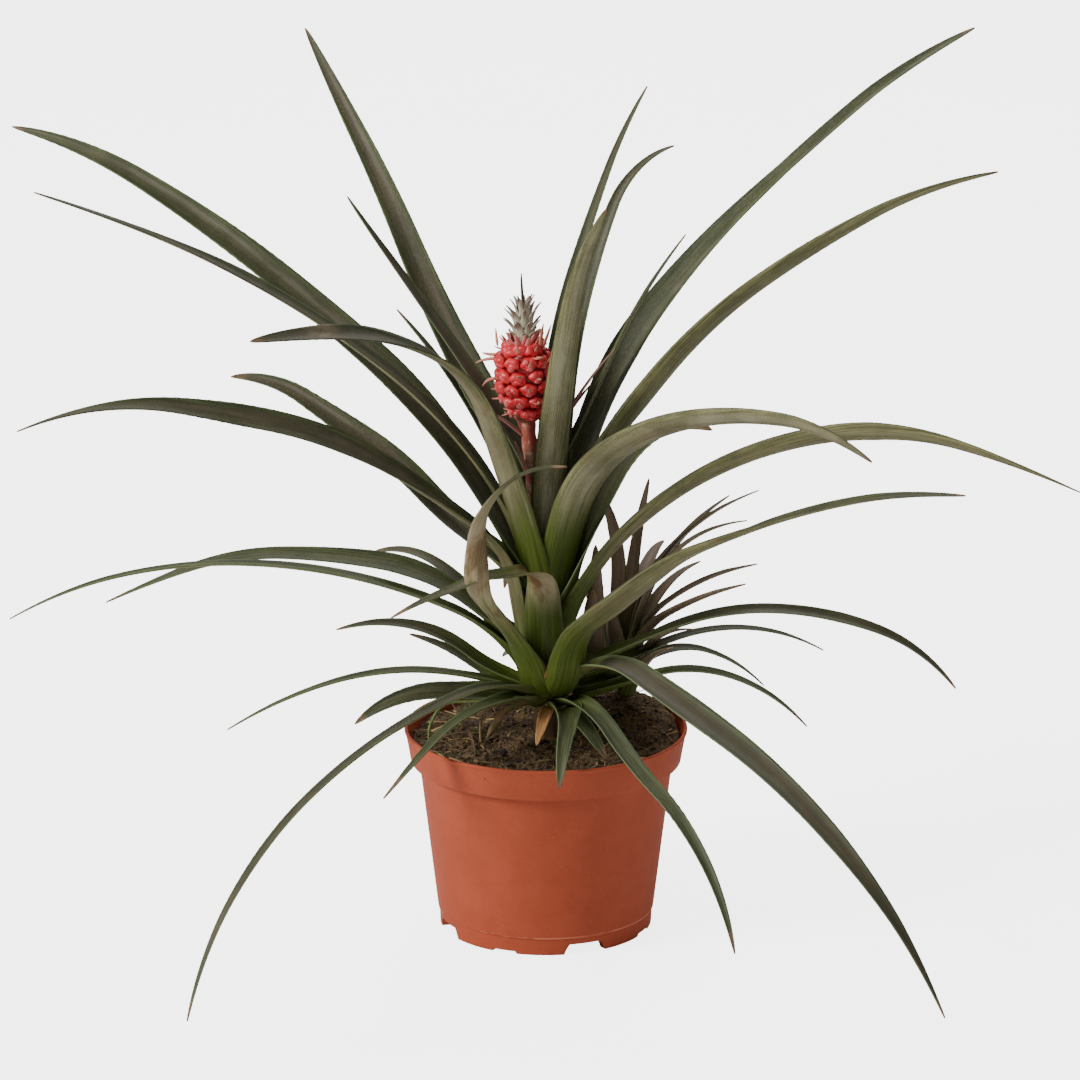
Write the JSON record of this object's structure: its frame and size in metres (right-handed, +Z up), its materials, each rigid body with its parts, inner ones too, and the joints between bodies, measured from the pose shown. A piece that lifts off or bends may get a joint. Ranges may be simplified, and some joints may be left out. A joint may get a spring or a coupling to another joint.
{
  "type": "potted plant",
  "caption": "Dwarf pineapple plant in a round plastic nursery pot, with arching sword-shaped leaves, a small red fruit with a tuft on a stalk, and a side shoot.",
  "frame": {"origin": "centre of the whole plant's plan outline, within a few millimetres of the pot's axis, on the surface that the pot's foot stands on", "axes": "+Z up along the pot's axis, +X to the right of the view in the picture, along the leaves' widest spread, and -Y towards the viewer"},
  "size_m": [0.4441, 0.3812, 0.3734],
  "materials": {
    "pot": "matte moulded terracotta-coloured plastic",
    "soil": "damp fibrous peat",
    "leaf": "satin green leaf with a greyer underside",
    "dried_leaf": "dry papery leaf",
    "stem": "satin green leaf bases",
    "stalk": "matte reddish stalk",
    "fruit": "glossy red berries",
    "crown": "grey-green scurfy scales",
    "shoot": "satin brown-green young leaves"
  },
  "bodies": {
    "root": {"leaf_inner_1": "leaf", "leaf_inner_2": "leaf", "leaf_inner_3": "leaf", "leaf_inner_4": "leaf", "leaf_inner_5": "leaf", "leaf_inner_6": "leaf", "leaf_inner_7": "leaf", "leaf_upper_1": "leaf", "leaf_upper_2": "leaf", "leaf_upper_3": "leaf", "leaf_upper_4": "leaf", "leaf_upper_5": "leaf", "leaf_upper_6": "leaf", "leaf_upper_7": "leaf", "leaf_upper_8": "leaf", "leaf_middle_1": "leaf", "leaf_middle_2": "leaf", "leaf_middle_3": "leaf", "leaf_middle_4": "leaf", "leaf_middle_5": "leaf", "leaf_middle_6": "leaf", "leaf_middle_7": "leaf", "leaf_middle_8": "leaf", "leaf_middle_9": "leaf", "leaf_lower_1": "leaf", "leaf_lower_2": "leaf", "leaf_lower_3": "leaf", "leaf_lower_4": "leaf", "leaf_lower_5": "dried_leaf", "leaf_lower_6": "leaf", "leaf_lower_7": "leaf", "leaf_lower_8": "leaf", "leaf_lower_9": "leaf", "leaf_lower_10": "leaf", "leaf_lower_11": "leaf", "leaf_lower_12": "leaf", "leaf_lower_13": "leaf", "leaf_lower_14": "leaf", "leaf_lower_15": "leaf", "leaf_back_1": "leaf", "leaf_back_2": "leaf", "leaf_back_3": "leaf", "leaf_back_4": "leaf", "leaf_back_5": "leaf", "leaf_back_6": "leaf", "pot": "pot", "soil": "soil", "stem": "stem", "stalk": "stalk", "fruit": "fruit", "crown": "crown", "shoot": "shoot"}
  },
  "joints": []
}
